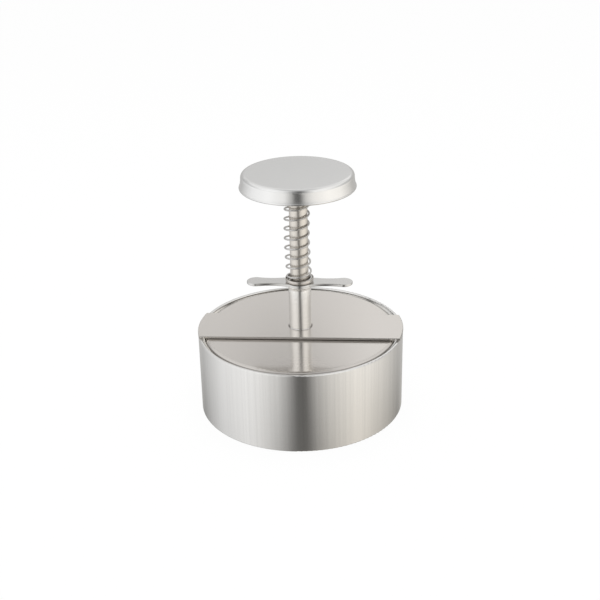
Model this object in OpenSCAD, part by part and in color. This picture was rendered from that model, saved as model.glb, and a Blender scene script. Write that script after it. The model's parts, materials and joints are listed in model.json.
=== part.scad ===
// Hand-operated burger press: a mould ring crossed by a flat bridge, with a sprung plunger
// that slides in a guide tube. The palm pushes the cap down while two fingers pull on the wing,
// and the plate presses the patty and then pushes it out of the open bottom of the ring.
// Millimetres. The origin is on the axis, in the plane that the ring stands on; +Z is up
// and the bridge lies along X.

/* [Mould ring] */
// Outside diameter of the mould ring
ring_d = 114.2; // [100:0.2:130]
// Height of the mould ring
ring_h = 45.6; // [36:0.2:60]
// Wall thickness of the mould ring
ring_wall = 1.8; // [1.6:0.1:3]
// Rounding of the ring's top and bottom edges
ring_round = 0.6; // [0.3:0.1:0.7]

/* [Bridge bar] */
// Width of the bridge bar
bridge_w = 30.6; // [24:0.2:40]
// Thickness of the bridge bar
bridge_t = 1.4; // [1:0.1:2.5]
// How far the ends of the bridge stand proud of the ring
bridge_overhang = 0.1; // [0:0.1:1]
// Rounding of the bridge's edges
bridge_round = 0.35; // [0.1:0.05:0.45]

/* [Guide tube] */
// Length of the guide tube between the bridge and the finger wing
tube_h = 25.6; // [22:0.2:40]
// Wall of the guide tube
tube_wall = 1.1; // [0.9:0.1:2]
// How far the flare at the tube's top stands out from it
flare_w = 1.2; // [0.8:0.1:1.4]
// Height of the flare at the tube's top
flare_h = 2.2; // [1.5:0.1:4]
// Thickness of the flare's edge under the wing
flare_edge = 0.3; // [0.2:0.05:0.8]
// Size of the weld fillet round the tube's foot
foot_fillet = 0.6; // [0.3:0.1:1.2]
// Wall of the thin necks that pass through the bridge and the wing
neck_wall = 0.6; // [0.4:0.05:0.8]

/* [Finger wing] */
// Length of the finger wing from tip to tip
wing_span = 58.2; // [50:0.2:80]
// Thickness of the finger wing
wing_t = 1.5; // [1.2:0.1:3]
// Width of the wing's lobes
lobe_w = 10; // [9:0.2:13]
// Width of the wing's waists, between the lobes and the hub
waist_w = 8; // [5:0.2:8.4]
// Distance from the hub to the narrowest place of a waist
waist_offset = 7.8; // [5:0.2:9]
// Rounding of the wing's edges
wing_round = 0.4; // [0.1:0.05:0.5]

/* [Spring cup] */
// Height of the pressed cup that holds the spring's lower end
cup_h = 2.4; // [1.8:0.1:5]
// Sheet thickness of the spring cup
cup_t = 0.6; // [0.4:0.05:0.8]
// Gap between the spring and the wall of the cup
cup_clear = 0.1; // [0.1:0.05:0.6]
// Outer radius of the cup's bottom corner
cup_round = 1.4; // [0.9:0.05:1.4]

/* [Coil spring] */
// Diameter of the spring's wire
wire_d = 1; // [0.8:0.1:1.8]
// Gap between the plunger rod and the spring
spring_clear = 1.1; // [0.5:0.1:2]
// Length of the spring with the plunger at rest
spring_h = 54; // [46:0.5:80]
// Number of open turns
open_turns = 9; // [6:1:11]
// Angle round the axis at which the winding starts
spring_start = 150; // [0:5:355]
// Gap between a closed end turn and the turn next to it
closed_gap = 0.6; // [0.5:0.05:1.5]
// Gap between the spring's ends and what they bear on
seat_gap = 0.05; // [0:0.01:0.2]

/* [Spring washer] */
// Thickness of the washer on top of the spring
washer_t = 0.8; // [0.5:0.1:2]
// Gap between the plunger rod and the washer
washer_clear = 0.3; // [0.2:0.05:0.6]
// How far the washer stands out past the spring
washer_ledge = 0.7; // [0.2:0.1:2]
// Running gap between the washer and the boss that turns above it
washer_gap = 0.1; // [0.05:0.05:0.3]

/* [Plunger rod] */
// Diameter of the plunger rod
rod_d = 10; // [8:0.2:12]
// Sliding gap between the plunger rod and the guide tube
rod_clear = 0.1; // [0.05:0.05:0.3]
// Diameter of the threaded stud at the top of the rod
stud_d = 6; // [4:0.5:7]
// Length of the threaded stud at the top of the rod
stud_l = 4.6; // [3:0.2:5.2]

/* [Palm cap] */
// Diameter of the palm cap where its side begins below the rounded top edge
cap_d = 60.4; // [50:0.2:75]
// Height of the palm cap
cap_h = 8.3; // [7:0.1:14]
// Sheet thickness of the palm cap
cap_t = 1; // [0.8:0.1:1.6]
// Outer radius of the palm cap's top edge
cap_round = 2.2; // [1.8:0.1:4]
// Radius of the hollow curve in which the palm cap's side flares out to its lip
cap_flare_r = 17; // [14:0.5:40]
// How far the rounded lip of the palm cap stands out on each side of the sheet
lip_bead = 0.15; // [0.1:0.05:0.4]
// Height of the threaded boss inside the palm cap
boss_h = 5.9; // [5.8:0.1:9]
// How far the boss stands out past the washer
boss_ledge = 0.4; // [0:0.1:2]
// Diameter of the flange by which the boss is welded to the cap
boss_flange_d = 24; // [20:0.5:36]
// Thickness of the boss's flange
boss_flange_t = 1.2; // [0.8:0.1:2]

/* [Press plate] */
// Gap between the press plate and the inside of the ring
plate_gap = 1.4; // [0.6:0.1:3]
// Thickness of the press plate
plate_t = 2; // [1.8:0.1:4]
// Width of the rounding round the press plate's top edge
plate_edge_w = 2; // [1:0.1:3]
// Height of the rounding round the press plate's top edge
plate_edge_h = 0.9; // [0.5:0.1:1]
// Rounding of the press plate's bottom edge
plate_round = 0.4; // [0.2:0.1:0.6]
// Gap between the raised press plate and the bridge
stop_gap = 0.2; // [0.1:0.05:0.5]

/* [Plate screw] */
// Thread diameter of the screw that holds the press plate
screw_d = 5; // [4:0.5:6]
// Length of thread that the screw has in the rod
screw_grip = 12; // [8:0.5:20]
// Diameter of the screw's low domed head
screw_head_d = 13; // [11:0.5:18]
// Height of the screw's head
screw_head_h = 2; // [1.6:0.1:3]
// Key size of the screw's hexagon socket, across its corners
socket_d = 3.6; // [2.5:0.1:5]
// Depth of the screw's hexagon socket
socket_depth = 1.3; // [0.8:0.1:1.5]
// Clearance of the screw in the plate
screw_clear = 0.2; // [0.1:0.05:0.5]

/* [Fits] */
// Gap between pieces that are welded, riveted or screwed together
fit = 0.05; // [0.02:0.01:0.1]

/* [Hidden] */
$fn = 96;

// Radii, from the rod outwards
rod_r = rod_d / 2;
bore_r = rod_r + rod_clear;
neck_r = bore_r + neck_wall;
tube_r = bore_r + tube_wall;
wire_r = wire_d / 2;
coil_r = rod_r + spring_clear + wire_r;
spring_r = coil_r + wire_r;
cup_in_r = spring_r + cup_clear;
cup_r = cup_in_r + cup_t;
washer_r = spring_r + washer_ledge;
boss_r = washer_r + boss_ledge;
ring_r = ring_d / 2;
plate_r = ring_r - ring_wall - plate_gap;
cap_r = cap_d / 2;
lip_r = cap_t / 2 + lip_bead;
stud_r = stud_d / 2;
screw_r = screw_d / 2;

// Heights, from the ring upwards
plate_top = ring_h - stop_gap;
plate_z = plate_top - plate_t;
bridge_z = ring_h;
tube_z = bridge_z + bridge_t;
wing_z = tube_z + tube_h;
cup_z = wing_z + wing_t;
spring_z = cup_z + cup_t;
washer_z = spring_z + spring_h;
boss_z = washer_z + washer_t + washer_gap;
cap_z = boss_z + boss_h;
cap_top = cap_z + cap_t;
cap_corner_z = cap_top - cap_round;
lip_z = cap_top - cap_h + lip_r;

// Chamfers and small run-outs
chamfer = 0.5;
thread_runout = 1;
stud_runout = 0.4;
washer_round = 0.2;
head_edge = 0.5;
lobe_bite = 0.05;
past = 1;

// Radius of an arc that leaves a line smoothly and is off it by a rise after a run
function arc_radius(run, rise) = (run * run + rise * rise) / (2 * rise);

// Section of a disc or washer, from r_in to r_out and z = 0 to t, with a rounded rim
module disc_section(r_in, r_out, t, round) {
  translate([r_in, 0]) square([r_out - round - r_in, t]);
  translate([r_in, round]) square([r_out - r_in, t - 2 * round]);
  for (z = [round, t - round])
    translate([r_out - round, z]) circle(round);
}

// Flat bar along X with all four long edges rounded, centred on the Z axis
module rounded_bar(length, width, t, round) {
  translate([-length / 2, 0, 0]) rotate([90, 0, 90]) linear_extrude(length)
    for (side = [0, 1]) mirror([side, 0]) disc_section(0, width / 2, t, round);
}

// Open-bottomed ring that shapes the patty
module mould_ring() {
  color("silver") rotate_extrude()
    translate([ring_r - ring_wall, 0]) {
      translate([ring_round, 0]) square([ring_wall - 2 * ring_round, ring_h]);
      translate([0, ring_round]) square([ring_wall, ring_h - 2 * ring_round]);
      for (r = [ring_round, ring_wall - ring_round], z = [ring_round, ring_h - ring_round])
        translate([r, z]) circle(ring_round);
    }
}

// Flat bar welded across the rim; its ends follow the ring
module bridge_bar() {
  end_r = ring_r + bridge_overhang;
  color("lightgray") translate([0, 0, bridge_z]) difference() {
    intersection() {
      rounded_bar(2 * end_r + past, bridge_w, bridge_t, bridge_round);
      rotate_extrude() disc_section(0, end_r, bridge_t, bridge_round);
    }
    translate([0, 0, -past]) cylinder(r = neck_r + fit, h = bridge_t + 2 * past);
  }
}

// Section of a hollow fillet in the corner of a wall that runs up +Y and a face that runs out +X; it
// reaches a height up the wall and a width along the face, and backs into the wall by an overlap
module hollow_fillet(width, height, overlap) {
  radius = arc_radius(height, width);
  difference() {
    translate([-overlap, 0]) square([width + overlap, height]);
    translate([radius, height]) circle(radius);
  }
}

// Tube that guides the rod, riveted through the bridge below and the wing and cup above
module guide_tube() {
  overlap = tube_wall / 2;
  color("gainsboro") translate([0, 0, tube_z]) rotate_extrude() {
    translate([bore_r, 0]) square([tube_wall, tube_h]);
    translate([tube_r, 0]) hollow_fillet(foot_fillet, foot_fillet, overlap);
    translate([tube_r, tube_h]) mirror([0, 1]) {
      translate([-overlap, 0]) square([flare_w + overlap, flare_edge]);
      translate([0, flare_edge]) hollow_fillet(flare_w, flare_h, overlap);
    }
    translate([bore_r, -bridge_t]) square([neck_wall, tube_h + bridge_t + wing_t + cup_t]);
  }
}

// Cutter with the shape of one waist: a drum whose ends flare out, so that the cut edge is rounded
module waist_cutter(r) {
  translate([0, 0, -past]) cylinder(r = r, h = wing_t + 2 * past);
  for (side = [0, 1]) translate([0, 0, side * wing_t]) mirror([0, 0, side]) rotate_extrude() difference() {
    translate([0, -past]) square([r + wing_round, past + wing_round]);
    translate([r + wing_round, wing_round]) circle(wing_round);
  }
}

// Plate with two lobes for the fingers, clamped between the guide tube and the spring cup. Each side of a
// waist is an arc that touches a circle just inside the lobe's, so it runs almost smoothly into the lobe.
module finger_wing() {
  lobe_r = lobe_w / 2;
  lobe_x = wing_span / 2 - lobe_r;
  touch_r = lobe_r - lobe_bite;
  waist_x = cup_r + waist_offset;
  waist_hw = waist_w / 2;
  run = lobe_x - waist_x;
  waist_r = (run * run + waist_hw * waist_hw - touch_r * touch_r) / (2 * (touch_r - waist_hw));
  join_angle = atan2(run, waist_hw + waist_r);
  middle_hw = max(lobe_r, cup_r * cos(30));
  middle_x = lobe_x - middle_hw * tan(join_angle);
  color("darkgray") translate([0, 0, wing_z]) difference() {
    union() {
      difference() {
        union() {
          linear_extrude(wing_t)
            polygon([[lobe_x, 0], [middle_x, middle_hw], [-middle_x, middle_hw],
                     [-lobe_x, 0], [-middle_x, -middle_hw], [middle_x, -middle_hw]]);
          for (side = [-1, 1]) translate([side * lobe_x, 0, 0])
            rotate_extrude() disc_section(0, lobe_r, wing_t, wing_round);
        }
        for (x = [-waist_x, waist_x], y = [-1, 1])
          translate([x, y * (waist_hw + waist_r), 0]) waist_cutter(waist_r);
      }
      rotate_extrude() disc_section(0, cup_r, wing_t, wing_round);
    }
    translate([0, 0, -past]) cylinder(r = neck_r + fit, h = wing_t + 2 * past);
  }
}

// Pressed cup that the spring stands in
module spring_cup() {
  hole_r = neck_r + fit;
  color("gainsboro") translate([0, 0, cup_z]) rotate_extrude() {
    translate([hole_r, 0]) square([cup_r - cup_round - hole_r, cup_t]);
    translate([cup_in_r, cup_round]) square([cup_t, cup_h - cup_round - cup_t / 2]);
    translate([cup_in_r + cup_t / 2, cup_h - cup_t / 2]) circle(cup_t / 2);
    translate([cup_r - cup_round, cup_round]) intersection() {
      difference() {
        circle(cup_round);
        circle(cup_round - cup_t);
      }
      translate([0, -cup_round]) square(cup_round);
    }
  }
}

// Centre line of the spring: a closed turn at each end and open turns between, right-handed
turns = open_turns + 2;
rings_per_turn = 8;
wire_sides = 6;
closed_pitch = wire_d + closed_gap;
open_pitch = (spring_h - wire_d - 2 * seat_gap - 2 * closed_pitch) / open_turns;
function rise(t) = closed_pitch * (min(t, 1) + max(t - 1 - open_turns, 0))
                   + open_pitch * min(max(t - 1, 0), open_turns);
function wound(t) = 360 * t + spring_start;
function outward(t) = [cos(wound(t)), sin(wound(t)), 0];
function along(t) = [-sin(wound(t)), cos(wound(t)), 0];
function coil_point(t) = coil_r * outward(t) + [0, 0, spring_z + seat_gap + wire_r + rise(t)];

// Each station is a point of the centre line and its outward direction; the ends run straight
// for one wire diameter
stations = concat([[coil_point(0) - wire_d * along(0), 0]],
                  [for (i = [0 : turns * rings_per_turn]) [coil_point(i / rings_per_turn), i / rings_per_turn]],
                  [[coil_point(turns) + wire_d * along(turns), turns]]);

// Least gap between turns, measured between stations at least half a turn apart
turn_gap = min([for (i = [0 : len(stations) - 1], j = [i + rings_per_turn / 2 : 1 : len(stations) - 1])
                norm(stations[i][0] - stations[j][0])]) - wire_d;

// One closed tube swept along the stations
module coil_spring() {
  echo(str("least gap between the turns of the spring: ", turn_gap, " mm"));
  n = len(stations);
  points = [for (s = stations, k = [0 : wire_sides - 1])
            s[0] + wire_r * (cos(360 * k / wire_sides) * outward(s[1]) + [0, 0, sin(360 * k / wire_sides)])];
  function at(i, k) = i * wire_sides + k % wire_sides;
  sides = [for (i = [0 : n - 2], k = [0 : wire_sides - 1], half = [0, 1])
           half == 0 ? [at(i, k), at(i, k + 1), at(i + 1, k)] : [at(i, k + 1), at(i + 1, k + 1), at(i + 1, k)]];
  ends = [for (k = [1 : wire_sides - 2], far = [0, 1])
          far == 0 ? [at(0, 0), at(0, k + 1), at(0, k)] : [at(n - 1, 0), at(n - 1, k), at(n - 1, k + 1)]];
  color("slategray") polyhedron(points, concat(sides, ends));
}

// Flat washer between the spring and the boss, which lets the plunger turn without winding the spring
module spring_washer() {
  color("gray") translate([0, 0, washer_z]) rotate_extrude()
    disc_section(rod_r + washer_clear, washer_r, washer_t, washer_round);
}

// Rod with a threaded stud at the top and a threaded hole for the plate screw at the bottom
module plunger_rod() {
  rod_l = boss_z - plate_top;
  hole_r = screw_r + fit;
  hole_l = screw_grip + thread_runout;
  color("whitesmoke") translate([0, 0, plate_top]) rotate_extrude() difference() {
    polygon([[0, 0], [rod_r - chamfer, 0], [rod_r, chamfer], [rod_r, rod_l - chamfer],
             [rod_r - chamfer, rod_l], [stud_r, rod_l], [stud_r, rod_l + stud_l - chamfer],
             [stud_r - chamfer, rod_l + stud_l], [0, rod_l + stud_l]]);
    polygon([[0, -past], [hole_r, -past], [hole_r, hole_l], [0, hole_l + hole_r / 2]]);
  }
}

// Filled section of the palm cap down to a level, drawn in by an inset
module cap_fill(inset, level) {
  corner_r = cap_r - cap_round;
  difference() {
    translate([0, level]) square([cap_r + cap_flare_r, cap_corner_z - level]);
    translate([cap_r + cap_flare_r, cap_corner_z]) circle(cap_flare_r + inset);
  }
  translate([0, cap_corner_z]) square([corner_r, cap_round - inset]);
  translate([corner_r, cap_corner_z]) circle(cap_round - inset);
}

// Pressed sheet cap with a rounded top edge, a side that flares out and a rounded lip
module palm_cap() {
  middle_r = cap_flare_r + cap_t / 2;
  drop = cap_corner_z - lip_z;
  color("lightgray") rotate_extrude() {
    difference() {
      cap_fill(0, lip_z);
      cap_fill(cap_t, lip_z - past);
    }
    translate([cap_r + cap_flare_r - sqrt(middle_r * middle_r - drop * drop), lip_z]) circle(lip_r);
  }
}

// Threaded boss welded inside the palm cap, which takes the stud of the rod
module cap_boss() {
  flange_edge = boss_flange_d / 2;
  color("gray") translate([0, 0, boss_z]) rotate_extrude() difference() {
    polygon([[0, 0], [boss_r - chamfer, 0], [boss_r, chamfer], [boss_r, boss_h - boss_flange_t],
             [flange_edge, boss_h - boss_flange_t], [flange_edge, boss_h], [0, boss_h]]);
    translate([0, -past]) square([stud_r + fit, past + stud_l + stud_runout]);
  }
}

// Plate that presses the patty, with a broad rounding round its top edge
module press_plate() {
  edge_r = arc_radius(plate_edge_w, plate_edge_h);
  color("silver") translate([0, 0, plate_z]) rotate_extrude() difference() {
    disc_section(screw_r + screw_clear, plate_r, plate_t, plate_round);
    translate([plate_r - plate_edge_w, plate_t - edge_r]) difference() {
      square([plate_edge_w + past, edge_r + past]);
      circle(edge_r);
    }
  }
}

// Screw with a low domed head that holds the plate to the rod from below
module plate_screw() {
  head_r = screw_head_d / 2;
  dome_h = screw_head_h - head_edge;
  dome_r = arc_radius(head_r, dome_h);
  color("dimgray") translate([0, 0, plate_z]) difference() {
    rotate_extrude() {
      translate([0, -head_edge]) square([head_r, head_edge]);
      intersection() {
        translate([0, dome_r - screw_head_h]) circle(dome_r);
        translate([0, -screw_head_h]) square([head_r, dome_h]);
      }
      square([screw_r, plate_t + screw_grip]);
    }
    translate([0, 0, -screw_head_h - past]) cylinder(d = socket_d, h = past + socket_depth, $fn = 6);
  }
}

mould_ring();
bridge_bar();
guide_tube();
finger_wing();
spring_cup();
coil_spring();
spring_washer();
plunger_rod();
palm_cap();
cap_boss();
press_plate();
plate_screw();
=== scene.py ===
"""Looks of a hand-operated burger press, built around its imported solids.

The solids keep their shape and get brushed, polished and satin steel finishes. The coil spring is wound anew
with a round wire, and the stage is a white floor in a soft light tent, seen from the photograph's angle.
"""

import json
import math

import bpy
import numpy as np
from mathutils import Matrix, Vector


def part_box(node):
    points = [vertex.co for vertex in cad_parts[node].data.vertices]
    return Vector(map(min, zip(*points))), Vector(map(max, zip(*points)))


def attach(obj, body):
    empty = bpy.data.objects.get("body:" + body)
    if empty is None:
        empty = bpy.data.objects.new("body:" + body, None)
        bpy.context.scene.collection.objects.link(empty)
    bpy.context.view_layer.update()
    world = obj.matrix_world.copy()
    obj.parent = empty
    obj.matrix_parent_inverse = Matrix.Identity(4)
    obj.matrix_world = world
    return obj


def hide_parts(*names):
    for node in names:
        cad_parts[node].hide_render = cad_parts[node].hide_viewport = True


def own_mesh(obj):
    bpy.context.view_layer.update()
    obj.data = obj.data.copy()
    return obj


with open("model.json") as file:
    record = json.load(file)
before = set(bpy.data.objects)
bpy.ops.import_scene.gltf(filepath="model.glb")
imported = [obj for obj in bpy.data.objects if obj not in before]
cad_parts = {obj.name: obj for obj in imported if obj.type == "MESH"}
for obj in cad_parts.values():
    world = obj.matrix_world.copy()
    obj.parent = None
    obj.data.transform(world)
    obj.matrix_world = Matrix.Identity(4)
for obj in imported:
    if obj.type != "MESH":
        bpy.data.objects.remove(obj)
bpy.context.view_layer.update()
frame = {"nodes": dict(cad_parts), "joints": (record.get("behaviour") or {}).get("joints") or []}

bl_info = {
    "name": "Burger press looks",
    "version": (1, 0, 0),
    "blender": (4, 5, 0),
    "location": "View3D > Sidebar > Press",
    "description": "Finishes, spring and stage of a hand-operated burger press",
    "category": "Object",
}

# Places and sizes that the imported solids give
CUP_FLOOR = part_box("guide_tube")[1].z
WASHER_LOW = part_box("spring_washer")[0].z
ROD_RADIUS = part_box("plunger_rod")[1].x
SLIDE = next(joint for joint in frame["joints"] if joint["name"] == "plunger_slide")
STROKE = SLIDE["range_m"][1] - SLIDE["range_m"][0]

# Noise in the steels: detail and roughness, and frequency per metre along each axis
LINE_NOISE = (6.0, 0.62)
SMEAR_NOISE = (3.0, 0.55)
SMEAR_GRAIN = (38.0, 38.0, 38.0)
ROLL_NOISE = (3.0, 0.6)
ROLL_GRAIN = (600.0, 600.0, 4.0)

# Share by which the fine lines vary the roughness, and the part of a full turn by which the gloss is turned
LINE_GLOSS = 0.3
GLOSS_TURN = 0.25

# Share of a sided tint (the tube foot's heat tint with painted contact shade) that is left at the front, and
# the shares of its side between which it grows to full
TINT_AND_SHADE_FRONT = 0.45
TINT_AND_SHADE_SIDE = (0.6, 0.85)

# White floor: what it gives back to the press, and the share of the press's shadow that shows
FLOOR_BOUNCE = 0.8
SHADOW_SHARE = 0.06

# How many times as much blue a warm grey loses as it gains red
BLUE_LOSS = 1.6


class Signal:
    """A socket of a node tree, used as a number in expressions: each operator adds a Math node."""

    def __init__(self, tree, socket=None):
        self.tree = tree
        self.socket = socket

    def node(self, kind, settings=None, sockets=None, output=0):
        """Add a node of this kind: settings come first, then the values or links of its sockets."""
        made = self.tree.nodes.new(kind)
        for key, value in (settings or {}).items():
            if key == "stops":
                fill_ramp(made.color_ramp, value)
            else:
                setattr(made, key, value)
        for key, value in (sockets or {}).items():
            if isinstance(value, Signal):
                self.tree.links.new(value.socket, made.inputs[key])
            else:
                made.inputs[key].default_value = value
        return Signal(self.tree, made.outputs[output] if made.outputs else None)

    def math(self, operation, first, second=0.0):
        """A Math node on one or two numbers."""
        return self.node("ShaderNodeMath", {"operation": operation}, {0: first, 1: second})

    def __add__(self, other):
        return self.math("ADD", self, other)

    def __radd__(self, other):
        return self.math("ADD", other, self)

    def __sub__(self, other):
        return self.math("SUBTRACT", self, other)

    def __rsub__(self, other):
        return self.math("SUBTRACT", other, self)

    def __mul__(self, other):
        return self.math("MULTIPLY", self, other)

    def __rmul__(self, other):
        return self.math("MULTIPLY", other, self)

    def __neg__(self):
        return self.math("MULTIPLY", self, -1.0)

    def part(self, axis):
        """One component of a vector, by its letter."""
        return self.node("ShaderNodeSeparateXYZ", None, {0: self}, output="XYZ".index(axis))

    def stretched(self, factors):
        """The vector, multiplied by one factor along each axis."""
        return self.node("ShaderNodeVectorMath", {"operation": "MULTIPLY"}, {0: self, 1: factors})

    def noise(self, detail, roughness):
        """Noise at this vector, from 0 to 1."""
        return self.node("ShaderNodeTexNoise", None,
                         {"Vector": self, "Scale": 1.0, "Detail": detail, "Roughness": roughness})

    def smooth(self, low, high):
        """0 below low and 1 above high, with a smooth step between."""
        return self.node("ShaderNodeMapRange", {"interpolation_type": "SMOOTHSTEP"},
                         {"Value": self, "From Min": low, "From Max": high})

    def blend(self, first, second):
        """A colour that goes from first to second as this number goes from 0 to 1."""
        return self.node("ShaderNodeMix", {"data_type": "RGBA"},
                         {"Factor": self, 6: first, 7: second}, output=2)


def fill_ramp(ramp, stops):
    """Set a colour ramp to (position, colour) stops with straight lines between them."""
    ramp.interpolation = "LINEAR"
    while len(ramp.elements) > 1:
        ramp.elements.remove(ramp.elements[-1])
    for index, (position, colour) in enumerate(stops):
        element = ramp.elements[0] if index == 0 else ramp.elements.new(position)
        element.position = position
        element.color = colour


def grey(level, warmth=0.0):
    """A grey of this level, warmer (redder) or cooler (bluer) by a small share."""
    return (level * (1.0 + warmth), level, level * (1.0 - BLUE_LOSS * warmth), 1.0)


# What mirrors see of the light tent, in bands from the floor up. Each band is (elevations in degrees between
# which it takes over from the band below, warmth on the right, stops of (degrees round the compass, level)).
# Degrees count from the front, and the right is positive. A wide soft panel stands on each side, with a gap
# at the front where the camera is, and the back is pale. The ring mirrors the first band, the rod and the
# cap's side the second, and the cap's top the back of the third, a seam in the panels. The plate mirrors the
# backs of the fourth and fifth, and the tube their fronts by way of the plate. The cap's rounded edge mirrors
# the sixth, and the last is the roof.
TENT = (
    ((-90, -89), 0.07, (
        (-180, 0.74), (-165, 0.44), (-148, 0.19), (-100, 0.64), (-60, 0.78), (-40, 0.62), (-8, 0.15),
        (14, 0.125), (45, 0.45), (72, 0.67), (95, 0.46), (148, 0.18), (165, 0.44), (180, 0.74))),
    ((-32.5, -26), 0.03, (
        (-180, 0.52), (-140, 0.52), (-95, 0.93), (-55, 1.04), (-22, 0.89), (-8, 0.48), (-1, 0.125),
        (8, 0.11), (20, 0.67), (34, 0.9), (65, 1.06), (95, 0.99), (140, 0.52), (180, 0.52))),
    ((6, 12), 0.01, (
        (-180, 0.63), (-135, 0.49), (-60, 0.84), (-25, 0.74), (-2, 0.26), (8, 0.15), (20, 0.47),
        (40, 0.82), (65, 0.84), (135, 0.49), (180, 0.63))),
    ((19, 23), 0.015, (
        (-180, 0.98), (-135, 0.66), (-100, 0.86), (-75, 1.5), (-35, 1.55), (-22, 1.35), (-11, 0.88),
        (-1, 0.37), (9, 0.21), (19, 0.66), (40, 1.5), (63, 1.55), (100, 0.84), (140, 0.58), (180, 0.98))),
    ((19, 31), 0.015, (
        (-180, 0.95), (-175, 0.46), (-171, 0.7), (-145, 0.45), (-98, 0.66), (-45, 0.98), (-23, 0.75),
        (-3, 0.29), (7, 0.12), (19, 0.4), (40, 0.93), (63, 0.83), (122, 0.42), (160, 0.9), (180, 0.95))),
    ((27, 35), 0.01, (
        (-180, 0.75), (-60, 1.0), (-30, 0.84), (-18, 0.6), (-4, 0.24), (7, 0.09), (16, 0.22), (38, 0.86),
        (65, 1.0), (180, 0.75))),
    ((60, 84), 0.0, ((0, 0.55),)),
)


def tent_band(turn, warmth, stops):
    """Colour of one band of the tent; turn is 0 to 1 for a full turn from the back round the front.

    The warmth is full on the right and none on the left, with half a sine wave between.
    """
    tints = []
    for degrees, level in stops:
        to_right = 0.5 + 0.5 * math.sin(math.radians(degrees))
        tints.append(((degrees + 180) / 360, grey(level, warmth * to_right)))
    return turn.node("ShaderNodeValToRGB", {"stops": tints}, {0: turn})


def between(height, elevations):
    """0 below the first elevation and 1 above the second, for the height of a unit vector."""
    return height.smooth(*(math.sin(math.radians(degrees)) for degrees in elevations))


def new_material(name):
    """An empty node material and a signal on its tree."""
    material = bpy.data.materials.new(name)
    material.use_nodes = True
    material.node_tree.nodes.clear()
    return material, Signal(material.node_tree)


def steel(name, colour, roughness, grain, streak, anisotropy=0.0, bump=0.000004, smudge=0.05,
          haze=None, painted_roll_streaks=0.0, tint_and_shade=None):
    """Steel with fine lines along its grain.

    grain gives the lines' frequency along each axis, per metre: low along a line and high across it.
    The lines shade the colour by the streak, vary the roughness and cut a relief as deep as the bump. Broad
    smears vary the roughness by the smudge.
    haze is (share, added, left): the share of the face that fine scratches cover, what they add to its
    roughness and what share of its colour they leave.
    rolled is the depth of upright streaks of painted reflection: shade in the colour standing for the faint
    undulations that the rolls leave in a bent sheet.
    stain is (colour, height, reach, side): a tint of that colour up to that height, which fades out over the
    reach above it. It paints the shade in the plate's gap, and at the tube's foot a heat tint together with
    painted contact shade. With a side, half the width of the piece, it is full only at the far left and
    right.
    """
    material, tree = new_material(name)
    place = tree.node("ShaderNodeTexCoord", output=3)
    lines = place.stretched(grain).noise(*LINE_NOISE)
    smears = place.stretched(SMEAR_GRAIN).noise(*SMEAR_NOISE)
    shade = (1.0 - 0.5 * streak) + lines * streak
    gloss = roughness + (lines - 0.5) * (LINE_GLOSS * roughness) + (smears - 0.5) * smudge
    # Painted reflection: upright streaks in the colour stand for the faint undulations of a rolled sheet
    if painted_roll_streaks:
        shade = shade + (place.stretched(ROLL_GRAIN).noise(*ROLL_NOISE) - 0.5) * painted_roll_streaks
    base = (*colour, 1.0)
    # Painted shade: a tint that darkens the colour below a height, for the gap's shade and the contact shade
    # at a foot
    if tint_and_shade:
        tint_and_shade_colour, height, reach, side = tint_and_shade
        fade = 1.0 - place.part("Z").smooth(height, height + reach)
        if side:
            aside = place.math("ABSOLUTE", place.part("X")).smooth(*(share * side for share in TINT_AND_SHADE_SIDE))
            fade = fade * (TINT_AND_SHADE_FRONT + (1.0 - TINT_AND_SHADE_FRONT) * aside)
        base = fade.blend(base, (*tint_and_shade_colour, 1.0))
    relief = tree.node("ShaderNodeBump", None, {"Strength": 1.0, "Distance": bump, "Height": lines})

    def metal(shade, gloss):
        """The metal at this shade of its colour and this roughness."""
        tint = tree.node("ShaderNodeMix", {"data_type": "RGBA", "blend_type": "MULTIPLY"},
                         {"Factor": 1.0, 6: base, 7: shade}, output=2)
        return tree.node("ShaderNodeBsdfPrincipled", None, {
            "Base Color": tint,
            "Metallic": 1.0,
            "Roughness": gloss,
            "Anisotropic": anisotropy,
            "Anisotropic Rotation": GLOSS_TURN,
            "Normal": relief,
        })

    surface = metal(shade, gloss)
    if haze:
        share, added, left = haze
        scratched = metal(shade * left, gloss + added)
        surface = tree.node("ShaderNodeMixShader", None, {0: share, 1: surface, 2: scratched})
    tree.node("ShaderNodeOutputMaterial", None, {"Surface": surface})
    return material


def dress(material, *nodes):
    """Give CAD nodes a material."""
    for name in nodes:
        for slot in frame["nodes"][name].material_slots:
            slot.material = material


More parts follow.
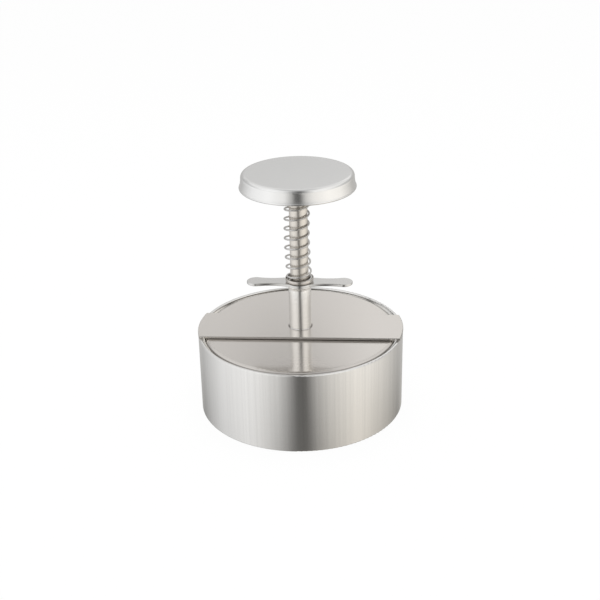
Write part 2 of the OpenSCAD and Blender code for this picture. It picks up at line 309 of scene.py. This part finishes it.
def tube_mesh(name, centres, outward, radius, sides):
    """Closed round tube along a line of centres.

    Ring i is centre i plus radius times (cos of the angle times outward, plus sin of the angle times the
    binormal), where the binormal is square to the line and to outward. Fans of triangles close the ends.
    """
    along = np.gradient(centres, axis=0)
    along /= np.linalg.norm(along, axis=1, keepdims=True)
    binormal = np.cross(along, outward)
    binormal /= np.linalg.norm(binormal, axis=1, keepdims=True)
    normal = np.cross(binormal, along)
    angle = np.linspace(0.0, 2.0 * np.pi, sides, endpoint=False)[None, :, None]
    rings = centres[:, None] + radius * (np.cos(angle) * normal[:, None] + np.sin(angle) * binormal[:, None])
    count = len(centres)
    points = np.concatenate([rings.reshape(-1, 3), centres[[0, -1]]])
    row, column = np.meshgrid(np.arange(count - 1), np.arange(sides), indexing="ij")
    after = (column + 1) % sides
    quads = np.stack([row * sides + column, (row + 1) * sides + column,
                      (row + 1) * sides + after, row * sides + after], axis=-1).reshape(-1, 4)
    rim = np.arange(sides)
    behind = (rim + 1) % sides
    first, last = count * sides, count * sides + 1
    start = np.stack([np.full(sides, first), rim, behind], axis=-1)
    end = np.stack([np.full(sides, last), (count - 1) * sides + behind, (count - 1) * sides + rim], axis=-1)
    mesh = bpy.data.meshes.new(name)
    mesh.from_pydata(points.tolist(), [], quads.tolist() + start.tolist() + end.tolist())
    mesh.polygons.foreach_set("use_smooth", np.arange(len(mesh.polygons)) < len(quads))
    mesh.update()
    return mesh


def length_setting(name, description, default):
    """Property for a length in metres."""
    return bpy.props.FloatProperty(name=name, description=description, default=default, unit="LENGTH")


def angle_setting(name, description, degrees):
    """Property for an angle, given in degrees."""
    return bpy.props.FloatProperty(name=name, description=description, default=math.radians(degrees),
                                   subtype="ANGLE")


def colour_setting(name, description, default):
    """Property for the colour of a finish."""
    return bpy.props.FloatVectorProperty(name=name, description=description, default=default, subtype="COLOR")


class SpringSizes(bpy.types.PropertyGroup):
    """Sizes of the coil spring."""

    wire: length_setting("Wire", "Diameter of the spring's wire", 0.001)
    open_turns: bpy.props.IntProperty(name="Open turns", description="Turns between the closed end turns",
                                      default=9)
    closed_gap: length_setting("End gap", "Gap between a closed end turn and the next", 0.0006)
    clear: length_setting("Clearance", "Gap between the rod and the spring", 0.0011)
    bow: length_setting("Bow", "How far the spring bows to the left at its middle", 0.00105)
    seat: length_setting("Seat gap", "Gap between the spring's ends and their seats", 0.00005)
    start: angle_setting("Start", "Angle at which the winding starts", 150)


class Finish(bpy.types.PropertyGroup):
    """Colours of the steel pieces, and the reach of their heat tint and painted shade."""

    ring: colour_setting("Ring", "Brushed steel of the mould ring", (0.838, 0.831, 0.818))
    sheet: colour_setting("Sheet", "Half mirror steel of the bridge and plate", (0.845, 0.81, 0.772))
    cap: colour_setting("Cap", "Satin steel of the palm cap", (0.878, 0.878, 0.872))
    tube: colour_setting("Tube", "Polished steel of the guide tube", (0.98, 0.97, 0.95))
    rod: colour_setting("Rod", "Polished steel of the plunger rod", (0.81, 0.77, 0.716))
    wing: colour_setting("Wing", "Pressed steel of the finger wing", (0.71, 0.704, 0.692))
    cup: colour_setting("Cup", "Darker steel of the spring cup", (0.676, 0.642, 0.608))
    wire: colour_setting("Wire", "Drawn wire of the spring", (0.67, 0.66, 0.648))
    turned: colour_setting("Turned", "Turned steel of washer, boss and screw", (0.70, 0.70, 0.69))
    # Painted shade: the weld colour, fading over the weld fade, is a heat tint together with the contact
    # shade where the tube meets the bar
    weld: colour_setting("Weld", "Heat tint round the foot of the guide tube", (0.26, 0.24, 0.22))
    weld_tint_and_shade_fade: length_setting("Weld fade", "Height over which the heat tint fades", 0.0012)
    # Painted shade: the gap colour darkens the plate's edge below the gap depth, where shade falls in the gap
    # between plate and ring
    gap: colour_setting("Gap", "Shaded edge of the plate in its gap", (0.36, 0.34, 0.32))
    gap_depth: length_setting("Gap depth", "Depth from which the plate's edge is fully shaded", 0.00075)
    gap_fade: length_setting("Gap fade", "Height over which that shade fades", 0.0003)


class Stage(bpy.types.PropertyGroup):
    """Camera, light and floor of the stage."""

    turn: angle_setting("Turn", "Camera's angle round the press, to the right", 4.2)
    away: length_setting("Away", "Camera's level distance from the axis", 0.5574)
    height: length_setting("Height", "Camera's height above the floor", 0.31525)
    pitch: angle_setting("Pitch", "How far the camera looks down", 24.39)
    roll: angle_setting("Roll", "How far the camera leans to the right", 1.19)
    lens: bpy.props.FloatProperty(name="Lens", description="Focal length in millimetres",
                                  default=66.36, unit="CAMERA")
    near: length_setting("Near", "Distance from which the camera sees things", 0.01)
    plain: bpy.props.FloatProperty(name="Plain light", description="Level of the light from all round",
                                   default=0.75, subtype="FACTOR")
    lamp: bpy.props.FloatProperty(name="Lamp", description="Power of the overhead lamp in watts",
                                  default=4.0, unit="POWER")
    lamp_size: length_setting("Lamp size", "Side of the overhead lamp", 0.8)
    lamp_height: length_setting("Lamp height", "Height of the overhead lamp above the floor", 1.0)
    floor: length_setting("Floor", "Half of the floor's side", 3.0)
    drop: length_setting("Drop", "Gap between the press and the floor below it", 0.0001)


class PressLooks(bpy.types.PropertyGroup):
    """Everything that can be set about the press's looks."""

    spring: bpy.props.PointerProperty(name="Spring", description="Sizes of the coil spring", type=SpringSizes)
    finish: bpy.props.PointerProperty(name="Finish", description="Colours and marks of steel", type=Finish)
    stage: bpy.props.PointerProperty(name="Stage", description="Camera, light and floor", type=Stage)


def spring_line(sizes, rings_per_turn=48):
    """Centre line of the spring and its outward directions.

    At turn t the point is the coil's radius along the outward direction (cos, sin of 360 t plus the start),
    raised by the closed pitch over the first and last turn and by the open pitch between. A slender spring
    bows under load, so the points also go to the left by the bow times half a sine wave of the height. The
    two ends run straight on for one wire diameter.
    """
    radius = ROD_RADIUS + sizes.clear + 0.5 * sizes.wire
    turns = sizes.open_turns + 2
    closed = sizes.wire + sizes.closed_gap
    low, high = CUP_FLOOR + sizes.seat, WASHER_LOW - sizes.seat
    open_pitch = (high - low - sizes.wire - 2.0 * closed) / sizes.open_turns
    turn = np.linspace(0.0, turns, turns * rings_per_turn + 1)
    height = (closed * (np.minimum(turn, 1.0) + np.maximum(turn - 1.0 - sizes.open_turns, 0.0))
              + open_pitch * np.clip(turn - 1.0, 0.0, sizes.open_turns))
    angle = 2.0 * np.pi * turn + sizes.start
    outward = np.stack([np.cos(angle), np.sin(angle), np.zeros_like(angle)], axis=-1)
    centres = radius * outward
    centres[:, 2] = low + 0.5 * sizes.wire + height
    centres[:, 0] -= sizes.bow * np.sin(np.pi * height / height[-1])
    ahead = np.stack([-outward[:, 1], outward[:, 0], np.zeros_like(angle)], axis=-1)
    tail, nose = centres[:1] - sizes.wire * ahead[:1], centres[-1:] + sizes.wire * ahead[-1:]
    return (np.concatenate([tail, centres, nose]),
            np.concatenate([outward[:1], outward, outward[-1:]]))


class PRESS_OT_spring(bpy.types.Operator):
    """Wind the coil spring from round wire in place of its solid"""

    bl_idname = "press.spring"
    bl_label = "Coil spring"

    def execute(self, context):
        looks = context.scene.press_looks
        centres, outward = spring_line(looks.spring)
        mesh = tube_mesh("wound_spring", centres, outward, 0.5 * looks.spring.wire, sides=14)
        spring = bpy.data.objects.new("wound_spring", mesh)
        context.scene.collection.objects.link(spring)
        mesh.materials.append(steel("drawn wire", looks.finish.wire, roughness=0.28,
                                    grain=(900.0, 900.0, 900.0), streak=0.2))
        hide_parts("coil_spring")
        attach(spring, "press_frame")
        1.0 - STROKE / (WASHER_LOW - CUP_FLOOR)
        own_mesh(spring)
        return {"FINISHED"}


class PRESS_OT_mould(bpy.types.Operator):
    """Finish the ring, the bridge and the press plate"""

    bl_idname = "press.mould"
    bl_label = "Mould"

    def execute(self, context):
        finish = context.scene.press_looks.finish
        dress(steel("ring brushed round", finish.ring, roughness=0.17, grain=(6.0, 6.0, 2200.0), streak=0.05,
                    anisotropy=0.6, painted_roll_streaks=0.2), "mould_ring")
        sheet = {"colour": finish.sheet, "roughness": 0.10, "grain": (60.0, 2500.0, 60.0), "streak": 0.03,
                 "bump": 0.0000002, "smudge": 0.02, "haze": (0.35, 0.28, 0.62)}
        dress(steel("scratched mirror bar", **sheet), "bridge_bar")
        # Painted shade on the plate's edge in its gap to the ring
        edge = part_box("press_plate")[1].z - finish.gap_depth
        shaded = (finish.gap, edge, finish.gap_fade, 0.0)
        dress(steel("scratched mirror plate", tint_and_shade=shaded, **sheet), "press_plate")
        return {"FINISHED"}


class PRESS_OT_guide(bpy.types.Operator):
    """Finish the guide tube, the finger wing and the spring cup"""

    bl_idname = "press.guide"
    bl_label = "Guide"

    def execute(self, context):
        finish = context.scene.press_looks.finish
        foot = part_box("bridge_bar")[1].z
        # Heat tint with painted contact shade round the tube's foot, fullest at the far left and right
        heat_tint_and_shade = (finish.weld, foot, finish.weld_tint_and_shade_fade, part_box("guide_tube")[1].x)
        dress(steel("polished tube", finish.tube, roughness=0.18, grain=(40.0, 40.0, 900.0), streak=0.05,
                    anisotropy=0.85, tint_and_shade=heat_tint_and_shade), "guide_tube")
        dress(steel("pressed wing", finish.wing, roughness=0.18, grain=(8.0, 900.0, 8.0), streak=0.06),
              "finger_wing")
        dress(steel("pressed cup", finish.cup, roughness=0.22, grain=(60.0, 60.0, 900.0), streak=0.08),
              "spring_cup")
        return {"FINISHED"}


class PRESS_OT_plunger(bpy.types.Operator):
    """Finish the palm cap, the rod and the turned pieces of the plunger"""

    bl_idname = "press.plunger"
    bl_label = "Plunger"

    def execute(self, context):
        finish = context.scene.press_looks.finish
        dress(steel("satin cap", finish.cap, roughness=0.16, grain=(400.0, 400.0, 400.0), streak=0.04),
              "palm_cap")
        dress(steel("polished rod", finish.rod, roughness=0.32, grain=(40.0, 40.0, 900.0), streak=0.05,
                    anisotropy=0.4), "plunger_rod")
        dress(steel("turned steel", finish.turned, roughness=0.30, grain=(20.0, 20.0, 900.0), streak=0.15),
              "spring_washer", "cap_boss", "plate_screw")
        return {"FINISHED"}


def ray_kind(tree, kind):
    """1 where the ray that arrives is of this kind."""
    return tree.node("ShaderNodeLightPath", output=f"Is {kind} Ray")


def floor_material():
    """White floor: the camera, also through glass, sees white with a share of the press's soft shadow."""
    material, tree = new_material("white floor")
    seen = ray_kind(tree, "Camera") + ray_kind(tree, "Transmission")
    diffuse = tree.node("ShaderNodeBsdfDiffuse", None, {"Color": grey(FLOOR_BOUNCE)})
    glow = tree.node("ShaderNodeEmission", None, {"Color": grey(1.0), "Strength": 1.0})
    matt = tree.node("ShaderNodeBsdfDiffuse", None, {"Color": grey(1.0)})
    shadowed = tree.node("ShaderNodeMixShader", None, {0: SHADOW_SHARE, 1: glow, 2: matt})
    surface = tree.node("ShaderNodeMixShader", None, {0: seen, 1: diffuse, 2: shadowed})
    tree.node("ShaderNodeOutputMaterial", None, {"Surface": surface})
    return material


def light_tent(world, plain):
    """World of a light tent: white to the camera, the tent's panels to mirrors and glass, and otherwise one
    plain level of light."""
    world.use_nodes = True
    world.node_tree.nodes.clear()
    tree = Signal(world.node_tree)
    way = tree.node("ShaderNodeTexCoord", output=0)
    turn = way.math("ARCTAN2", way.part("X"), -way.part("Y")) * (0.5 / math.pi) + 0.5
    height = way.part("Z")
    tent = grey(1.0)
    for elevations, warmth, stops in TENT:
        tent = between(height, elevations).blend(tent, tent_band(turn, warmth, stops))
    mirrored = ray_kind(tree, "Glossy") + ray_kind(tree, "Transmission")
    light = ray_kind(tree, "Camera").blend(mirrored.blend(grey(plain), tent), grey(1.0))
    background = tree.node("ShaderNodeBackground", None, {"Color": light, "Strength": 1.0})
    tree.node("ShaderNodeOutputWorld", None, {"Surface": background})


class PRESS_OT_stage(bpy.types.Operator):
    """Set up the floor, the light tent, the lamp and the camera"""

    bl_idname = "press.stage"
    bl_label = "Stage"

    def execute(self, context):
        scene = context.scene
        stage = scene.press_looks.stage
        half, low = stage.floor, -stage.drop
        mesh = bpy.data.meshes.new("floor")
        mesh.from_pydata([(-half, -half, low), (half, -half, low), (half, half, low), (-half, half, low)],
                         [], [(0, 1, 2, 3)])
        mesh.materials.append(floor_material())
        floor = bpy.data.objects.new("floor", mesh)
        floor.visible_glossy = False
        scene.collection.objects.link(floor)

        scene.world = bpy.data.worlds.new("light tent")
        light_tent(scene.world, stage.plain)

        lamp = bpy.data.lights.new("overhead lamp", "AREA")
        lamp.energy = stage.lamp
        lamp.size = stage.lamp_size
        hung = bpy.data.objects.new("overhead lamp", lamp)
        hung.location = (0.0, 0.0, stage.lamp_height)
        hung.visible_glossy = False
        scene.collection.objects.link(hung)

        camera = bpy.data.cameras.new("camera")
        camera.lens = stage.lens
        camera.clip_start = stage.near
        stand = bpy.data.objects.new("camera", camera)
        turn = (Matrix.Rotation(stage.turn, 4, "Z") @ Matrix.Rotation(math.pi / 2 - stage.pitch, 4, "X")
                @ Matrix.Rotation(-stage.roll, 4, "Z"))
        place = Vector((stage.away * math.sin(stage.turn), -stage.away * math.cos(stage.turn), stage.height))
        stand.matrix_world = Matrix.Translation(place) @ turn
        scene.collection.objects.link(stand)
        scene.camera = stand
        scene.view_settings.view_transform = "Standard"
        return {"FINISHED"}


OPERATORS = (PRESS_OT_spring, PRESS_OT_mould, PRESS_OT_guide, PRESS_OT_plunger, PRESS_OT_stage)


class PRESS_PT_looks(bpy.types.Panel):
    """Lists the press's settings and the operators that build its looks"""

    bl_idname = "PRESS_PT_looks"
    bl_label = "Burger press"
    bl_space_type = "VIEW_3D"
    bl_region_type = "UI"
    bl_category = "Press"

    def draw(self, context):
        looks = context.scene.press_looks
        for group in (looks.spring, looks.finish, looks.stage):
            box = self.layout.box()
            for name in group.__annotations__:
                box.prop(group, name)
        for operator in OPERATORS:
            self.layout.operator(operator.bl_idname)


CLASSES = (SpringSizes, Finish, Stage, PressLooks, *OPERATORS, PRESS_PT_looks)


def register():
    """Register the classes and give the scene its settings."""
    for cls in CLASSES:
        bpy.utils.register_class(cls)
    bpy.types.Scene.press_looks = bpy.props.PointerProperty(type=PressLooks)


def unregister():
    """Take the settings and the classes away again."""
    del bpy.types.Scene.press_looks
    for cls in reversed(CLASSES):
        bpy.utils.unregister_class(cls)


def main():
    """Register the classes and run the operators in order."""
    register()
    bpy.ops.press.stage()
    bpy.ops.press.spring()
    bpy.ops.press.mould()
    bpy.ops.press.guide()
    bpy.ops.press.plunger()


if __name__ == "__main__":
    main()
